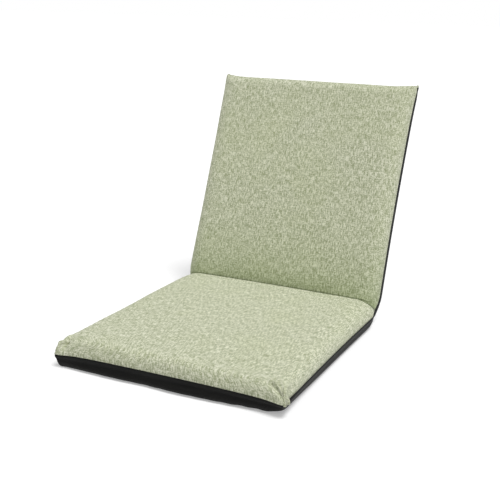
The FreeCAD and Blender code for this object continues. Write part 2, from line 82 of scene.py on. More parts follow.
# %% [markdown]
# Bending a straight chair
# It is easiest to shape the chair while it lies straight: x goes across it, v runs along it
# from the seat's front edge (negative) to the top of the back (positive), and h is the height
# over the fold axis. One function then bends the straight chair to its resting pose, the way a
# sheet is rolled round a bar.

# %% The bend
bend_reach = 17 * mm
bend_radius = bend_reach / math.tan(recline / 2)


def bent(x, v, h):
    """Rolls the straight chair up at the fold.

    Up to bend_reach before the axis nothing moves. Between -bend_reach and +bend_reach the
    length becomes an angle from 0 to recline on a circle of bend_radius over the seat. Past
    that the point turns about the axis by the whole recline.
    """
    angle = recline * np.clip((v + bend_reach) / (2 * bend_reach), 0, 1)
    past = np.clip(v - bend_reach, 0, None)
    before = np.clip(v + bend_reach, None, 0)
    y = -bend_reach + before + (bend_radius - h) * np.sin(angle) + past * math.cos(recline)
    z = bend_radius - (bend_radius - h) * np.cos(angle) + past * math.sin(recline)
    return np.stack([x, axis_y + y, axis_z + z], axis=-1)


# %% [markdown]
# From a grid of points to a mesh
# Every sewn piece here is a grid: rows run along the chair and columns run across it. A grid
# turns into quads by pairing each row with the next. The grid's own distances along the cloth
# become its UV map, in metres, so that the weave follows the cloth round every edge.

# %% Grid helpers


def arc_length(points, along):
    """Distance walked along one grid direction, added up from step to step."""
    steps = np.linalg.norm(np.diff(points, axis=along), axis=-1)
    first = np.zeros_like(np.take(steps, [0], axis=along))
    return np.concatenate([first, np.cumsum(steps, axis=along)], axis=along)


def grid_faces(rows, columns, flip):
    """Quads between neighbouring rows and columns; flip turns them to face the other way."""
    index = np.arange(rows * columns).reshape(rows, columns)
    quads = np.stack([index[:-1, :-1], index[:-1, 1:], index[1:, 1:], index[1:, :-1]], axis=-1)
    quads = quads.reshape(-1, 4)
    return quads[:, ::-1] if flip else quads


def mesh_piece(name, points, faces, uv=None):
    """A mesh object from an array of points and an array of faces, smooth shaded."""
    mesh = bpy.data.meshes.new(name)
    mesh.from_pydata(points.reshape(-1, 3).tolist(), [], faces.tolist())
    mesh.polygons.foreach_set("use_smooth", np.ones(len(mesh.polygons), bool))
    if uv is not None:
        corners = np.zeros(len(mesh.loops), np.int32)
        mesh.loops.foreach_get("vertex_index", corners)
        layer = mesh.uv_layers.new(name="UVMap")
        layer.data.foreach_set("uv", uv.reshape(-1, 2)[corners].astype(np.float32).ravel())
    mesh.update()
    piece = bpy.data.objects.new(name, mesh)
    bpy.context.scene.collection.objects.link(piece)
    return piece


def normals(points):
    """Unit normals of a grid: the cross product of its two directions, scaled to length 1."""
    across = np.gradient(points, axis=1)
    along = np.gradient(points, axis=0)
    raw = np.cross(across, along)
    return raw / np.maximum(np.linalg.norm(raw, axis=-1, keepdims=True), 1e-12)


# %% [markdown]
# The outline of a cushion
# A sewn cushion is widest at its corners. Stuffing draws the sides in between them, and the two
# layers of cloth meet at the corners in small pointed ears. The green and the black cloth share
# one seam, so both take its place from the same functions.

# %% Outline and seam
side_draw_in = 3.0 * mm
end_draw_in = 5.0 * mm
ear_length = 20 * mm
back_draw_in = 8.0 * mm
corner_flare = 2.5 * mm
flare_reach = 25 * mm
end_draw_reach = 120 * mm
seam_rise_reach = 90 * mm
fold_notch = 5 * mm
fold_notch_reach = 16 * mm
cloth_lift = 1.5 * mm
front_seam_rise = 3 * mm
side_seam_rise = 1 * mm
corner_seam_drop = 1 * mm


def half_width_at(v):
    """Half the cushion's width: a parabola draws it in, the corners flare, the fold is notched."""
    along = 2 * np.abs(v) / pad_length - 1
    flare = corner_flare * np.exp(-(pad_length - np.abs(v)) / flare_reach)
    notch = fold_notch * np.exp(-((v / fold_notch_reach) ** 2))
    return half_width - side_draw_in * (1 - along**2) + flare - notch


def end_place(v, share):
    """v moved back near the far end: the end edge is drawn in, apart from its two ears."""
    from_side = half_width * (1 - np.abs(share))
    drawn = np.where(v < 0, end_draw_in, back_draw_in) * (1 - np.exp(-from_side / ear_length))
    near_end = np.clip(1 - (pad_length - np.abs(v)) / end_draw_reach, 0, 1) ** 2
    return v - np.sign(v) * drawn * near_end


def seam_height(v, share):
    """Height of the seam over the floor side: lower at the corners, highest mid-front."""
    far = np.clip(1 - (pad_length - np.abs(v)) / seam_rise_reach, 0, 1)
    middle = 1 - share**2
    rise = front_seam_rise * far * middle**0.8 + side_seam_rise * (1 - far)
    corner = corner_seam_drop * far * np.abs(share) ** 6
    return seam_z + cloth_lift + rise - corner


# %% [markdown]
# Ripples and gathers
# Cloth that is sewn to a shorter edge puckers beside the seam. A few sine waves of unequal
# lengths, added up, give folds that look irregular and yet come out the same each time. The
# folds are strongest a few millimetres from the stitches and die out in the cushion's face.

# %% Ripple functions


def ripple(place, wavelength, seed, waves=5):
    """Sum of sine waves whose lengths lie around one wavelength, between about -1 and 1."""
    draw = np.random.default_rng(seed)
    lengths = wavelength * draw.uniform(0.72, 1.5, waves)
    phases = draw.uniform(0, 2 * math.pi, waves)
    total = sum(np.sin(2 * math.pi * place / l + p) for l, p in zip(lengths, phases))
    return total / math.sqrt(2 * waves)


def swell(x, v, size, seed):
    """Slow unevenness of stuffed foam: ripples along four directions, added up."""
    draw = np.random.default_rng(seed)
    total = 0
    for turn in draw.uniform(0, math.pi, 4):
        along = x * math.cos(turn) + v * math.sin(turn)
        total = total + ripple(along, size, int(turn * 1000), 3)
    return total / 2


def beside_seam(distance, reach):
    """Zero on the stitches, 1 at one reach from them, dying out beyond it."""
    ratio = distance / reach
    return ratio * np.exp(1 - ratio)


# %% [markdown]
# The green cloth
# The photographed side is one linen cover over both cushions: a nearly flat top, a roll at
# every edge down to the seam, and a sharp crease at the fold. The roll is a quarter of an
# ellipse, and the height of the cloth is the product of the roll across and the roll along, so
# that it falls to the seam on all four sides and is drawn in at the corners like a pillow.

# %% Shape of the green cloth
side_roll = 42 * mm
end_roll = 28 * mm
crown_lift = 3.5 * mm
crown_drop = 2.0 * mm
crease_depth = 7.5 * mm
crease_extra = 5.5 * mm
crease_seat_reach = 10 * mm
crease_back_reach = 55 * mm
crease_extra_share = 0.72
seat_end_dip = 1.0 * mm
back_end_dip = 1.5 * mm
fold_round_reach = 70 * mm
seat_fullness = 3.0
back_fullness = 2.4
hem = 3 * mm


def roll_steps(count):
    """Shares of a roll's depth at equal steps of angle, from its edge inwards."""
    return 1 - np.cos(np.linspace(0, math.pi / 2, count))


def rise(distance, reach, power=2.0):
    """Quarter of a superellipse: 0 at the edge, 1 from one reach inwards, fuller for high powers."""
    return (1 - np.clip(1 - distance / reach, 0, 1) ** power) ** (1 / power)


def cloth_rows(roll, roll_count, step):
    """v of every row: fine over the end rolls and round the fold, even between them."""
    ends = pad_length - roll * roll_steps(roll_count)
    fine = np.arange(0, 34 * mm, 1.5 * mm)
    middle_start, middle_end = fine[-1] + 1.5 * mm, ends[-1]
    middle = np.linspace(middle_start, middle_end, int((middle_end - middle_start) / step))
    half = np.concatenate([fine[1:], middle[:-1], ends[::-1]])
    return np.concatenate([-half[::-1], [0.0], half])


def green_columns(count_roll, count_top):
    """Share of the half width for every column, from the left seam (-1) to the right one (1)."""
    roll = 1 - side_roll / half_width * roll_steps(count_roll)
    top = np.linspace(roll[-1], 0, count_top)[1:]
    half = np.concatenate([roll, top])
    return np.concatenate([-half, half[::-1][1:]])


def corner_folds(x, v, side, end, reach, count, phase):
    """Folds that run out of one corner like the spokes of a wheel, dying out with the distance."""
    dx = half_width - side * x
    dv = pad_length - end * v
    away = np.hypot(dx, dv)
    angle = np.arctan2(dv, dx)
    wave = np.sin(angle * count + phase + 0.6 * np.sin(3 * angle))
    return wave * beside_seam(away, reach) * np.exp(-away / (4 * reach))


rows = cloth_rows(end_roll, 22, 5.5 * mm)
shares = green_columns(22, 66)
V, S = np.meshgrid(rows, shares, indexing="ij")
from_end = pad_length - np.abs(V)
from_side = (1 - np.abs(S)) * half_width_at(V)
X = S * half_width_at(V)
along = 2 * np.abs(V) / pad_length - 1
crease_reach = np.where(V < 0, crease_seat_reach, crease_back_reach)
deepest = crease_depth + crease_extra * np.clip(1 - (np.abs(S) / crease_extra_share) ** 6, 0, 1)
crease = deepest * (1 - rise(np.abs(V), crease_reach))
end_dip = np.where(V < 0, seat_end_dip, back_end_dip) * along**2
crown = thickness + crown_lift - crown_drop * S**2 - end_dip - crease
seam = seam_height(V, S)
to_fold = np.exp(-((V / fold_round_reach) ** 2))
fullness = np.where(V < 0, seat_fullness, back_fullness)
fullness = fullness + (2.0 - fullness) * to_fold
shape = rise(from_side, side_roll, fullness) * rise(from_end, end_roll, fullness)
Z = seam + (crown - seam) * shape
flat = np.stack([X, end_place(V, S), Z - axis_z], axis=-1)
print("green grid", flat.shape[0], "rows by", flat.shape[1], "columns")

# %% Gathers, dimple and swell of the green cloth
front_pucker, front_pucker_right, right_reach = 2.2 * mm, 1.0 * mm, 45 * mm
front_pucker_reach, front_pucker_length = 9 * mm, 10 * mm
side_pucker, side_pucker_front, side_front_reach = 0.35 * mm, 1.3 * mm, 60 * mm
side_pucker_reach, side_pucker_length = 10 * mm, 12 * mm
back_pucker, back_pucker_reach, back_pucker_length = 0.3 * mm, 8 * mm, 14 * mm
corner_gathers = [  # depth, side, end, reach, spokes, phase
    (4.6 * mm, 1, -1, 17 * mm, 15, 0.6),
    (2.6 * mm, -1, -1, 15 * mm, 10, 2.0),
    (1.4 * mm, 1, 1, 13 * mm, 9, 1.0),
    (1.4 * mm, -1, 1, 13 * mm, 9, 0.2),
]
dimple_depth, dimple_x, dimple_width = -10.0 * mm, -half_width + 19 * mm, 5 * mm
dimple_rise, dimple_start, dimple_length = 8 * mm, 10 * mm, 12 * mm
swell_height, swell_size, swell_margin, fold_calm = 0.9 * mm, 170 * mm, 60 * mm, 40 * mm

front = V < 0
near_right = np.exp(-(half_width - X) / right_reach)
front_amount = front_pucker + front_pucker_right * near_right
side_amount = side_pucker + side_pucker_front * np.exp(-from_end / side_front_reach) * front
at_front = np.where(front, beside_seam(from_end, front_pucker_reach), 0)
at_side = beside_seam(from_side, side_pucker_reach)
at_back = np.where(front, 0, beside_seam(from_end, back_pucker_reach))
puckers = front_amount * at_front * ripple(X, front_pucker_length, 3)
puckers = puckers + side_amount * at_side * ripple(V, side_pucker_length, 5)
puckers = puckers + back_pucker * at_back * ripple(X, back_pucker_length, 8)
gathers = 0
for depth, side, end, reach, spokes, phase in corner_gathers:
    folds = corner_folds(X, V, side, end, reach, spokes, phase)
    gathers = gathers + depth * np.where(front == (end < 0), folds, 0)
pinch = dimple_depth * np.exp(-(((X - dimple_x) / dimple_width) ** 2))
pinch = pinch * np.where(front, rise(from_end, dimple_rise), 0)
pinch = pinch * np.exp(-np.clip(from_end - dimple_start, 0, None) / dimple_length)
from_seam = np.minimum(from_side, from_end)
slow = swell_height * swell(X, V, swell_size, 21) * rise(from_seam, swell_margin)
slow = slow * (1 - np.exp(-((V / fold_calm) ** 2)))
moved = flat + normals(flat) * (puckers + gathers + pinch + slow)[..., None]
green_points = bent(moved[..., 0], moved[..., 1], moved[..., 2])

# %% [markdown]
# The hem of the green cloth
# Both cloths are turned inwards at the seam and stitched there. One more ring of points, a
# little inside the edge, makes that turned-in strip, and a thin wall turns the surface into
# cloth with a thickness. The seam then shows as a fine groove.

# %% Sew the green cloth
cloth_wall = 1.4 * mm


def with_hem(points, straight, inwards, drop):
    """Adds a ring of points round a grid: the edge, moved inwards in plan and up or down."""
    x, v, h = (np.pad(straight[..., k], 1, mode="edge") for k in range(3))
    ring = np.ones_like(x, bool)
    ring[1:-1, 1:-1] = False
    at_side = np.zeros_like(x)
    at_side[:, 0], at_side[:, -1] = 1, -1
    at_end = np.zeros_like(x)
    at_end[0, :], at_end[-1, :] = 1, -1
    x = x + at_side * inwards
    v = v + at_end * inwards
    h = np.where(ring, h + drop, h)
    edged = np.pad(points, ((1, 1), (1, 1), (0, 0)), mode="edge")
    return np.where(ring[..., None], bent(x, v, h), edged)


def cloth_uv(points):
    """UV in metres: walked distance across from the middle column, and along from the first row."""
    across = arc_length(points, 1)
    across = across - across[:, across.shape[1] // 2][:, None]
    middle = arc_length(points, 0)[:, points.shape[1] // 2]
    return np.stack([across, np.broadcast_to(middle[:, None], across.shape)], axis=-1)


def thicken(piece, wall):
    """Gives the cloth its thickness, inwards, and closes it at the hem."""
    solid = piece.modifiers.new("wall", "SOLIDIFY")
    solid.thickness = wall
    solid.offset = -1
    bpy.context.view_layer.objects.active = piece
    bpy.ops.object.modifier_apply(modifier=solid.name)


green_grid = with_hem(green_points, moved, hem, -0.4 * mm)
green = mesh_piece(
    "green_cover", green_grid, grid_faces(*green_grid.shape[:2], False), cloth_uv(green_grid)
)
from_fold = np.pad(V, 1, mode="edge")
mark = green.data.attributes.new("from_fold", "FLOAT", "POINT")
mark.data.foreach_set("value", from_fold.astype(np.float32).ravel())
thicken(green, cloth_wall)
print("green cover", len(green.data.polygons), "faces")

# %% [markdown]
# The black cloth
# The hidden side is a black non-woven cover: under the seat, round the back of the fold and up
# the rear. Its tuck under the seam is short mid-front, where it shows as a dark band, and long
# at the front right corner, where the underside leaves the floor like the bottom of a dish.

# %% Shape of the black cloth
floor_gap = 0.4 * mm
fold_lift = 4 * mm
fold_lift_reach = 60 * mm
black_roll = 60 * mm
seat_side_tuck, back_side_tuck, left_trim = 12 * mm, 6 * mm, 2 * mm
end_tuck_least, right_tuck, corner_reach = 6 * mm, 30 * mm, 90 * mm


def black_columns(count_roll, count_flat):
    """Share of the half width for every column, fine over the widest tuck at each side."""
    roll = 1 - black_roll / half_width * roll_steps(count_roll)
    flat_part = np.linspace(roll[-1], 0, count_flat)[1:]
    half = np.concatenate([roll, flat_part])
    return np.concatenate([-half, half[::-1][1:]])


black_rows = cloth_rows(black_roll, 36, 8 * mm)
BV, BS = np.meshgrid(black_rows, black_columns(26, 28), indexing="ij")
black_end = pad_length - np.abs(BV)
black_side = (1 - np.abs(BS)) * half_width_at(BV)
BX = BS * half_width_at(BV)
to_corner = np.exp(-black_end / corner_reach) * (BV < 0)
right = np.clip(BS, 0, 1)
side_tuck = np.where(BV < 0, seat_side_tuck, back_side_tuck)
side_tuck = side_tuck + to_corner * (right_tuck * right - left_trim)
end_tuck = end_tuck_least + right_tuck * right**2.2
black_seam = seam_height(BV, BS)
bottom = floor_gap + fold_lift * np.clip(1 - np.abs(BV) / fold_lift_reach, 0, 1) ** 2
fall = rise(black_side, side_tuck) * rise(black_end, end_tuck)
BZ = black_seam - (black_seam - bottom) * fall
print("black grid", BV.shape[0], "rows by", BV.shape[1], "columns")

# %% Piping and folds of the black cloth
piping_height, piping_share = 1.3 * mm, 0.34
groove_depth, groove_place, groove_width = 1.4 * mm, 0.38, 0.05
belly_start, seat_belly, back_belly, plain_belly = 0.4, 8.0 * mm, 2.5 * mm, 1.2 * mm
belly_reach, sag_depth, sag_length, sag_reach = 60 * mm, 0.6 * mm, 37 * mm, 14 * mm

piping = np.sin(math.pi * np.clip(fall / piping_share, 0, 1))
groove = np.exp(-(((fall - groove_place) / groove_width) ** 2))
belly = np.sin(math.pi * np.clip((fall - belly_start) / (1 - belly_start), 0, 1))
slack = 1 + 0.25 * ripple(BX + 0.4 * BV, 140 * mm, 31)
hull = np.where(BV < 0, seat_belly, back_belly) * (1 - BS**4)
near_end = np.exp(-black_end / belly_reach)
out = piping_height * piping - groove_depth * groove + hull * belly * slack * near_end
out = out + plain_belly * belly * (1 - near_end)
sag = sag_depth * ripple(BX, sag_length, 12) * beside_seam(black_end, sag_reach)
black_flat = np.stack([BX, end_place(BV, BS), BZ - axis_z], axis=-1)
black_flat = black_flat - normals(black_flat) * (out + sag)[..., None]
black_flat[..., 2] = np.maximum(black_flat[..., 2], floor_gap - axis_z)
black_points = bent(black_flat[..., 0], black_flat[..., 1], black_flat[..., 2])
black_grid = with_hem(black_points, black_flat, hem, 0.2 * mm)
black = mesh_piece(
    "black_cover", black_grid, grid_faces(*black_grid.shape[:2], True), cloth_uv(black_grid)
)
thicken(black, cloth_wall)
print("black cover", len(black.data.polygons), "faces")

# %% [markdown]
# The rear zip
# The black cover closes with a zip low on the rear. Its teeth are one small rounded tooth,
# copied along the zip from alternate sides. The same copying lays the stitches that hold the
# ribbed tape, and the tab hangs on the slider's bridge.

# %% Copies of a small pill
slider_low, slider_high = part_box("zip_slider")
zip_place = 70 * mm
zip_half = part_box("zip_chain")[1].x


def pill(length, width, height, around=8, rings=7):
    """A rounded bar along x: rings of an ellipse whose size follows a half circle at each end."""
    turn = np.linspace(0, 2 * math.pi, around, endpoint=False)
    along = -np.cos(np.linspace(0, math.pi, rings))
    size = np.sqrt(np.clip(1 - np.abs(along) ** 4, 0.02, 1))
    x = np.repeat(along[:, None] * length / 2, around, axis=1)
    y = size[:, None] * np.cos(turn) * width / 2
    z = size[:, None] * np.sin(turn) * height / 2
    points = np.stack([x, y, z], axis=-1).reshape(-1, 3)
    ring = np.arange(around)
    faces = []
    for k in range(rings - 1):
        start, after = k * around, (k + 1) * around
        near, far = ring + start, ring + after
        faces += np.stack([near, np.roll(near, -1), np.roll(far, -1), far], axis=-1).tolist()
    last = (rings - 1) * around
    return points, faces, [ring[::-1].tolist(), (ring + last).tolist()]


def copies(name, template, places):
    """One mesh of many copies of a template, moved to places in (x, along the back, depth)."""
    points, faces, caps = template
    count = len(points)
    shifted = points[None] + places[:, None]
    world = bent(shifted[..., 0], shifted[..., 1], -axis_z - shifted[..., 2])
    every = []
    for index in range(len(places)):
        every += [[corner + index * count for corner in face] for face in faces + caps]
    mesh = bpy.data.meshes.new(name)
    mesh.from_pydata(world.reshape(-1, 3).tolist(), [], every)
    mesh.polygons.foreach_set("use_smooth", np.ones(len(mesh.polygons), bool))
    flip_inside_out(mesh)
    piece = bpy.data.objects.new(name, mesh)
    bpy.context.scene.collection.objects.link(piece)
    return piece


def flip_inside_out(mesh):
    """Turns every face round if the mesh's volume, summed over its faces, comes out negative."""
    form = bmesh.new()
    form.from_mesh(mesh)
    if form.calc_volume(signed=True) < 0:
        bmesh.ops.reverse_faces(form, faces=form.faces)
    form.to_mesh(mesh)
    form.free()


# %% Teeth, stitches, tape and tab
tooth_pitch, tooth_offset, tooth_depth = 1.3 * mm, 1.1 * mm, 0.75 * mm
tooth_length, tooth_width, tooth_height = 3.4 * mm, 1.1 * mm, 1.5 * mm
stitch_pitch, stitch_margin, stitch_line, stitch_depth = 4 * mm, 3 * mm, 11 * mm, 0.3 * mm
stitch_length, stitch_width, stitch_height = 2.8 * mm, 0.7 * mm, 0.5 * mm
tape_half, tape_overhang, tape_depth, tape_wall = 14 * mm, 6 * mm, 0.08 * mm, 0.3 * mm
rib_height, rib_pitch, rib_fade = 0.08 * mm, 2 * mm, 1 * mm

tooth_x = np.arange(-zip_half + tooth_pitch, zip_half - tooth_pitch / 2, tooth_pitch)
tooth_side = np.where(np.arange(len(tooth_x)) % 2 == 0, tooth_offset, -tooth_offset)
tooth_level = np.full(len(tooth_x), tooth_depth)
tooth_places = np.stack([tooth_x, zip_place + tooth_side, tooth_level], axis=-1)
tooth_points, tooth_faces, tooth_caps = pill(tooth_length, tooth_width, tooth_height)
tooth = (tooth_points[:, [1, 0, 2]], tooth_faces, tooth_caps)
teeth = copies("zip_teeth", tooth, tooth_places)
stitch_x = np.arange(-zip_half + stitch_margin, zip_half, stitch_pitch)
stitch_level = np.full(len(stitch_x), stitch_depth)
stitch_rows = [
    np.stack([stitch_x, np.full(len(stitch_x), zip_place + side), stitch_level], axis=-1)
    for side in (-stitch_line, stitch_line)
]
stitch = pill(stitch_length, stitch_width, stitch_height)
stitches = copies("zip_stitches", stitch, np.concatenate(stitch_rows))
tape_u = np.linspace(-tape_half, tape_half, 57)
tape_x = np.linspace(-zip_half - tape_overhang, zip_half + tape_overhang, 160)
TX, TU = np.meshgrid(tape_x, tape_u, indexing="xy")
rib = rib_height * np.sin(2 * math.pi * TU / rib_pitch)
rib = rib * np.clip((tape_half - np.abs(TU)) / rib_fade, 0, 1)
tape_points = bent(TX, zip_place + TU, -axis_z - tape_depth - rib)
tape = mesh_piece("zip_tape", tape_points, grid_faces(*TX.shape, True), np.stack([TX, TU], axis=-1))
thicken(tape, tape_wall)


def rounded_loop(length, width, power, count=40):
    """Superellipse: |x/a|^power + |y/b|^power = 1, as a ring of points round its middle."""
    turn = np.linspace(0, 2 * math.pi, count, endpoint=False)
    c, s = np.cos(turn), np.sin(turn)
    reach = 2 / power
    return np.sign(c) * np.abs(c) ** reach * length / 2, np.sign(s) * np.abs(s) ** reach * width / 2


tab_length, tab_width, tab_middle = 22 * mm, 7 * mm, 10.2 * mm
hole_length, hole_width, hole_middle = 5 * mm, 3.6 * mm, 3.2 * mm
tab_inner, tab_outer, tab_tilt, tab_edge = 3.6 * mm, 4.4 * mm, 0.05, 0.2 * mm

tab_x = (slider_low.x + slider_high.x) / 2
outer_x, outer_u = rounded_loop(tab_length, tab_width, 4)
inner_x, inner_u = rounded_loop(hole_length, hole_width, 3)
outer_x, inner_x = outer_x + tab_middle, inner_x + hole_middle
loop_x = np.stack([outer_x, outer_x, inner_x, inner_x])
loop_u = np.stack([outer_u, outer_u, inner_u, inner_u])
tab_level = np.array([tab_inner, tab_outer, tab_outer, tab_inner])
tab_depth = tab_level[:, None] - tab_tilt * loop_x
tab_rings = bent(tab_x + loop_x, zip_place + loop_u, -axis_z - tab_depth)
tab_index = np.arange(loop_x.size).reshape(loop_x.shape)
tab_next = np.roll(tab_index, -1, 1)
tab_faces = [tab_index, tab_next, np.roll(tab_next, -1, 0), np.roll(tab_index, -1, 0)]
tab_faces = np.stack(tab_faces, axis=-1).reshape(-1, 4)
tab = mesh_piece("zip_pull", tab_rings, tab_faces)
flip_inside_out(tab.data)
bevel = tab.modifiers.new("edges", "BEVEL")
bevel.width = tab_edge
bevel.segments = 2
print("zip with", len(tooth_x), "teeth and", 2 * len(stitch_x), "stitches")

# %% [markdown]
# Writing shaders as sums
# A shader is a sum of small steps. This class wraps one output socket, and plus, minus, times
# and divide on it add the Math node that does it. Any other node comes from one method of the
# material, which sets the node up first and then fills in its sockets.

# %% Socket maths


class Wire:
    """One output socket in a material; arithmetic on it adds Math nodes."""

    def __init__(self, finish, socket):
        self.finish = finish
        self.socket = socket

    def math(self, operation, *others):
        inputs = dict(enumerate((self, *others)))
        return self.finish.node("ShaderNodeMath", {"operation": operation}, inputs)

    def __add__(self, other):
        return self.math("ADD", other)

    def __sub__(self, other):
        return self.math("SUBTRACT", other)

    def __mul__(self, other):
        return self.math("MULTIPLY", other)

    def __truediv__(self, other):
        return self.math("DIVIDE", other)

    __radd__ = __add__


class Finish:
    """A material that is being built: its node tree and its main shader."""

    def __init__(self, name, **constants):
        self.material = bpy.data.materials.new(name)
        self.material.use_nodes = True
        self.tree = self.material.node_tree
        self.tree.nodes.clear()
        self.output = self.tree.nodes.new("ShaderNodeOutputMaterial")
        self.shader = self.tree.nodes.new("ShaderNodeBsdfPrincipled")
        self.tree.links.new(self.shader.outputs[0], self.output.inputs["Surface"])
        for socket, value in constants.items():
            self.shader.inputs[socket.replace("_", " ")].default_value = value

    def fill(self, socket, value):
        if isinstance(value, Wire):
            self.tree.links.new(value.socket, socket)
        elif isinstance(value, tuple) and socket.type == "RGBA" and len(value) == 3:
            socket.default_value = (*value, 1.0)
        else:
            socket.default_value = value

    def node(self, kind, settings=None, inputs=None, output=0):
        """Adds a node: its settings first, then its sockets, and returns one output."""
        made = self.tree.nodes.new(kind)
        for name, value in (settings or {}).items():
            if name == "stops":
                ramp = made.color_ramp.elements
                while len(ramp) < len(value):
                    ramp.new(0.5)
                for element, (position, colour) in zip(ramp, value):
                    element.position = position
                    element.color = (*colour, 1.0)
            else:
                setattr(made, name, value)
        for name, value in (inputs or {}).items():
            self.fill(made.inputs[name], value)
        return Wire(self, made.outputs[output])

    def place(self, kind="Object"):
        """Texture coordinates: Object, or UV."""
        made = self.tree.nodes.new("ShaderNodeTexCoord")
        return Wire(self, made.outputs[kind])

    def parts(self, vector):
        """x, y and z of a vector."""
        made = self.tree.nodes.new("ShaderNodeSeparateXYZ")
        self.fill(made.inputs[0], vector)
        return [Wire(self, made.outputs[k]) for k in range(3)]

    def joined(self, x, y, z=0.0):
        return self.node("ShaderNodeCombineXYZ", None, {0: x, 1: y, 2: z})

    def noise(self, vector, scale, detail=2.0, roughness=0.5):
        inputs = {"Vector": vector, "Scale": scale, "Detail": detail, "Roughness": roughness}
        return self.node("ShaderNodeTexNoise", None, inputs)

    def mixed(self, factor, first, second, blend="MIX"):
        """Colour mix of two colours by a factor."""
        settings = {"data_type": "RGBA", "blend_type": blend, "clamp_factor": True}
        return self.node("ShaderNodeMix", settings, {0: factor, 6: first, 7: second}, 2)

    def ramp(self, factor, stops):
        return self.node("ShaderNodeValToRGB", {"stops": stops}, {0: factor})

    def bump(self, height, distance, strength):
        inputs = {"Height": height, "Distance": distance, "Strength": strength}
        return self.node("ShaderNodeBump", None, inputs)

    def set(self, socket, value):
        self.fill(self.shader.inputs[socket], value)


# %% [markdown]
# Green linen
# The cover is a heathered plain weave: pale and green fibres are spun together, so that each
# thread changes colour along its length. Two stretched noises stand for the warp and the weft
# threads, one fine noise for the fibres, and the weave itself is a bump of two crossed waves.
# On the back just above the fold the green is darkened by painted shade, and a thin dark line of
# painted shade marks the crease.

# %% Linen
thread = 1.1 * mm
linen_sheen = {"Sheen_Weight": 0.18, "Sheen_Roughness": 0.6}
linen = Finish("green_linen", Roughness=0.92, Specular_IOR_Level=0.25, **linen_sheen)
linen_u, linen_v, _ = linen.parts(linen.place("UV"))
warp = linen.noise(linen.joined(linen_u / (1.5 * mm), linen_v / (14 * mm)), 1.0, 1.0)
weft = linen.noise(linen.joined(linen_u / (8 * mm), linen_v / (1.5 * mm), 7.3), 1.0, 1.0)
fleck = linen.noise(linen.joined(linen_u, linen_v, 0.4), 1 / (1.9 * mm), 2.0, 0.8)
cloudy = linen.noise(linen.joined(linen_u, linen_v, 0.9), 1 / (120 * mm), 3.0)
heather = warp * 0.36 + weft * 0.2 + fleck * 0.44
contrast = (heather - 0.5) * 9.0 + 0.5
linen_stops = [(0.0, (0.33, 0.365, 0.215)), (0.5, (0.545, 0.572, 0.395)), (1.0, (0.80, 0.81, 0.64))]
woven = linen.ramp(contrast, linen_stops)
olive = (cloudy - 0.45) * 1.5
woven = linen.mixed(olive, woven, linen.mixed(0.35, woven, (0.50, 0.56, 0.27)))
fold_mark = linen.node("ShaderNodeAttribute", {"attribute_name": "from_fold"}, None, 2)
on_back = fold_mark.math("GREATER_THAN", 0.0)
# Painted shade: on the back side only, the green is darkened towards the crease and fades out over about 70 mm
# above it.
painted_fold_shade = (fold_mark * (-1 / (70 * mm))).math("EXPONENT") * on_back * 0.75
# Painted shade: a thin dark olive line, a few millimetres wide, along the crease at the fold.
painted_crease_line = (fold_mark * fold_mark * (-1 / (4 * mm) ** 2)).math("EXPONENT") * 0.8
woven = linen.mixed(painted_fold_shade, woven, linen.mixed(1.0, woven, (0.55, 0.64, 0.42), "MULTIPLY"))
linen.set("Base Color", linen.mixed(painted_crease_line, woven, (0.09, 0.115, 0.055)))
wave_u = (linen_u * (math.pi / thread)).math("SINE")
wave_v = (linen_v * (math.pi / thread)).math("SINE")
weave = wave_u * wave_v
linen.set("Normal", linen.bump(weave * 0.5 + heather * 1.2, 0.35 * mm, 0.6))
print("linen with a thread of", round(thread / mm, 2), "mm")

# %% [markdown]
# Black non-woven
# The underside is a spun-bonded cloth: fibres are pressed together in a fine grid of dots. It
# is nearly black, a little lighter where the fibres lie flat, and it takes a dull shine.

# %% Non-woven
dot_pitch = 1.6 * mm
felt = Finish("black_nonwoven", Sheen_Weight=0.0, Specular_IOR_Level=0.16)
felt_u, felt_v, _ = felt.parts(felt.place("UV"))
fibres = felt.noise(felt.joined(felt_u, felt_v), 1 / (1.3 * mm), 3.0, 0.65)
patches = felt.noise(felt.joined(felt_u, felt_v, 0.5), 1 / (45 * mm), 3.0)
dot_turn = 2 * math.pi / dot_pitch
dots = (felt_u * dot_turn).math("SINE") * (felt_v * dot_turn).math("SINE")
felt_tone = fibres * 0.6 + patches * 0.4
felt_stops = [(0.3, (0.0022, 0.0022, 0.0020)), (0.75, (0.010, 0.010, 0.0088))]
felt.set("Base Color", felt.ramp(felt_tone, felt_stops))
felt.set("Roughness", 0.42 + fibres * 0.3)
felt.set("Normal", felt.bump(fibres + dots * 0.35, 0.3 * mm, 0.5))

# %% Dress the covers
green.data.materials.append(linen.material)
black.data.materials.append(felt.material)
for cover, slot in ((green, "green_cloth"), (black, "black_cloth")):
    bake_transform(cover)
for piece, slot in ((teeth, "zip_nylon"), (stitches, "black_cloth"), (tape, "black_cloth")):
    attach(piece, "backrest")
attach(tab, "zip_slider")
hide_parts("zip_chain")
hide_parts("seat_cover_top", "back_cover_front", "seat_foam_top", "back_foam_front")
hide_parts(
    "seat_cover_base", "back_cover_rear", "seat_foam_base", "back_foam_rear", "fold_strip"
)

# %% [markdown]
# Hardware finishes
# The frame is powder coated, the plates are zinc plated, and the rivets, springs and washers
# have finishes of their own. Each one is a base metal or plastic with fine noise in its colour,
# roughness and surface.

# %% Metals and plastics


def grained(name, dark, light, grain, roughness, metallic, bump_depth, stretch=(1, 1, 1)):
    """A finish whose colour and roughness follow one noise; grain and bump_depth are in mm."""
    finish = Finish(name, Metallic=metallic)
    spot = finish.node("ShaderNodeMapping", None, {"Vector": finish.place(), "Scale": stretch})
    speck = finish.noise(spot, 1 / (grain * mm), 3.0, 0.6)
    finish.set("Base Color", finish.mixed(speck, dark, light))
    finish.set("Roughness", roughness - 0.1 + speck * 0.2)
    finish.set("Normal", finish.bump(speck, bump_depth * mm, 0.5))
    return finish.material


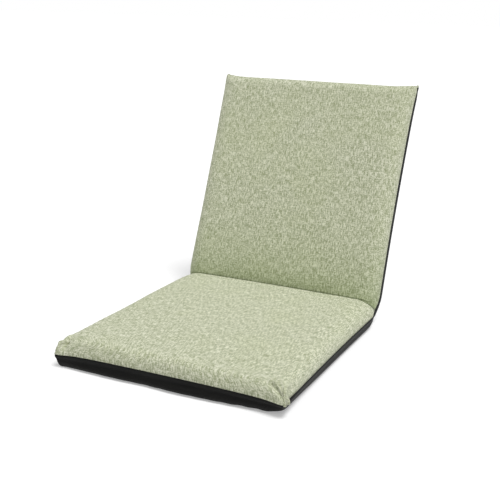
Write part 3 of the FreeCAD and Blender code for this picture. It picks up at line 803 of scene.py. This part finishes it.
# name, dark, light, grain, roughness, metallic, bump depth and stretch of every slot
grains = {
    "painted_tube": ("powder_coat", (0.02, 0.02, 0.022), (0.05, 0.05, 0.055), 0.9, 0.45, 0.0, 0.05),
    "plated_steel": (
        "zinc_plate", (0.42, 0.42, 0.4), (0.66, 0.66, 0.63), 5, 0.34, 1.0, 0.02, (1, 1, 6)
    ),
    "rivet_steel": ("bright_steel", (0.5, 0.5, 0.5), (0.68, 0.68, 0.67), 2, 0.28, 1.0, 0.02),
    "spring_steel": ("blued_steel", (0.09, 0.1, 0.14), (0.2, 0.22, 0.28), 3, 0.35, 1.0, 0.01),
    "washer_nylon": ("nylon", (0.68, 0.67, 0.61), (0.78, 0.77, 0.72), 1.5, 0.5, 0.0, 0.02),
    "zip_nylon": ("zip_nylon", (0.012, 0.012, 0.012), (0.035, 0.035, 0.035), 0.8, 0.45, 0.0, 0.04),
    "zip_metal": ("zip_enamel", (0.015, 0.015, 0.016), (0.04, 0.04, 0.042), 1.2, 0.3, 0.3, 0.01),
    "foam": ("foam", (0.7, 0.66, 0.5), (0.86, 0.82, 0.68), 1.2, 0.95, 0.0, 0.3),
}
finishes = {slot: grained(*row) for slot, row in grains.items()}
finishes.update(green_cloth=linen.material, black_cloth=felt.material)
zip_finishes = (
    (teeth, "zip_nylon"), (stitches, "zip_nylon"), (tape, "black_cloth"), (tab, "zip_metal")
)
for piece, slot in zip_finishes:
    piece.data.materials.append(finishes[slot])
for row in frame["record"]["subparts"]:
    node = frame["nodes"][row["node"]]
    node.data.materials.clear()
    node.data.materials.append(finishes[row["material_slot"]])
print(len(frame["nodes"]), "CAD nodes finished")

# %% [markdown]
# Studio
# A plain pale floor, one wide soft lamp from above, a little to the front and the right, and an
# even white world. The camera sees the world and the floor as white, and the floor keeps the
# chair's shadow.

# %% Floor and world
floor_size = 60.0
floor_grid = np.array([[-1, -1, 0], [1, -1, 0], [1, 1, 0], [-1, 1, 0]], float) * floor_size / 2
floor = mesh_piece("floor", floor_grid, np.array([[0, 1, 2, 3]]))
ground = Finish("pale_floor", Roughness=0.9, Specular_IOR_Level=0.0)
mottle = ground.noise(ground.place(), 1.5, 2.0)
ground.set("Base Color", ground.mixed(mottle, (0.80, 0.80, 0.80), (0.84, 0.84, 0.84)))
rays = ground.tree.nodes.new("ShaderNodeLightPath")
seen = Wire(ground, rays.outputs["Is Camera Ray"]) + Wire(ground, rays.outputs["Is Glossy Ray"])
seen = seen + Wire(ground, rays.outputs["Is Transmission Ray"])
glow = ground.node("ShaderNodeEmission", None, {"Color": (1.0, 1.0, 1.0), "Strength": 0.32})
plain = Wire(ground, ground.shader.outputs[0])
lit = ground.node("ShaderNodeAddShader", None, {0: plain, 1: glow})
both = ground.node("ShaderNodeMixShader", None, {0: seen, 1: plain, 2: lit})
ground.tree.links.new(both.socket, ground.output.inputs["Surface"])
floor.data.materials.append(ground.material)

world = bpy.data.worlds.new("studio")
bpy.context.scene.world = world
world.use_nodes = True
sky = world.node_tree
backdrop = sky.nodes["Background"]
backdrop.inputs["Color"].default_value = (1.0, 1.0, 1.0, 1.0)
backdrop.inputs["Strength"].default_value = 0.45
white = sky.nodes.new("ShaderNodeBackground")
white.inputs["Color"].default_value = (1.0, 1.0, 1.0, 1.0)
sky_rays = sky.nodes.new("ShaderNodeLightPath")
sky_mix = sky.nodes.new("ShaderNodeMixShader")
sky.links.new(sky_rays.outputs["Is Camera Ray"], sky_mix.inputs[0])
sky.links.new(backdrop.outputs[0], sky_mix.inputs[1])
sky.links.new(white.outputs[0], sky_mix.inputs[2])
sky.links.new(sky_mix.outputs[0], sky.nodes["World Output"].inputs["Surface"])

# %% Lamps


def sun(name, towards, width_degrees, power):
    """An even lamp far away in one direction; its width makes the shadows soft."""
    data = bpy.data.lights.new(name, "SUN")
    data.angle = math.radians(width_degrees)
    data.energy = power
    made = bpy.data.objects.new(name, data)
    made.rotation_euler = Vector(towards).to_track_quat("Z", "Y").to_euler()
    bpy.context.scene.collection.objects.link(made)


sun("key_lamp", (0.32, -0.09, 0.94), 26, 0.61 * math.pi)

# %% [markdown]
# Camera
# The photograph looks at the chair from the front and to its right, a little from above. The
# lens comes from the same fit: its length is in pixels of a 500 pixel frame.

# %% Camera
focal_pixels = 886
frame_pixels = 500
sensor_width = 36
view_yaw = math.radians(24.95)
view_pitch = math.radians(15.72)
view_roll = math.radians(1.38)
camera_place = (0.767, -1.546, 0.693)
camera_data = bpy.data.cameras.new("camera")
camera_data.sensor_width = sensor_width
camera_data.lens = focal_pixels * sensor_width / frame_pixels
camera = bpy.data.objects.new("camera", camera_data)
camera.location = camera_place
level = Euler((math.pi / 2 - view_pitch, 0, view_yaw)).to_matrix()
camera.rotation_euler = (level @ Matrix.Rotation(view_roll, 3, "Z")).to_euler()
bpy.context.scene.collection.objects.link(camera)
bpy.context.scene.camera = camera
bpy.context.scene.view_settings.view_transform = "Standard"
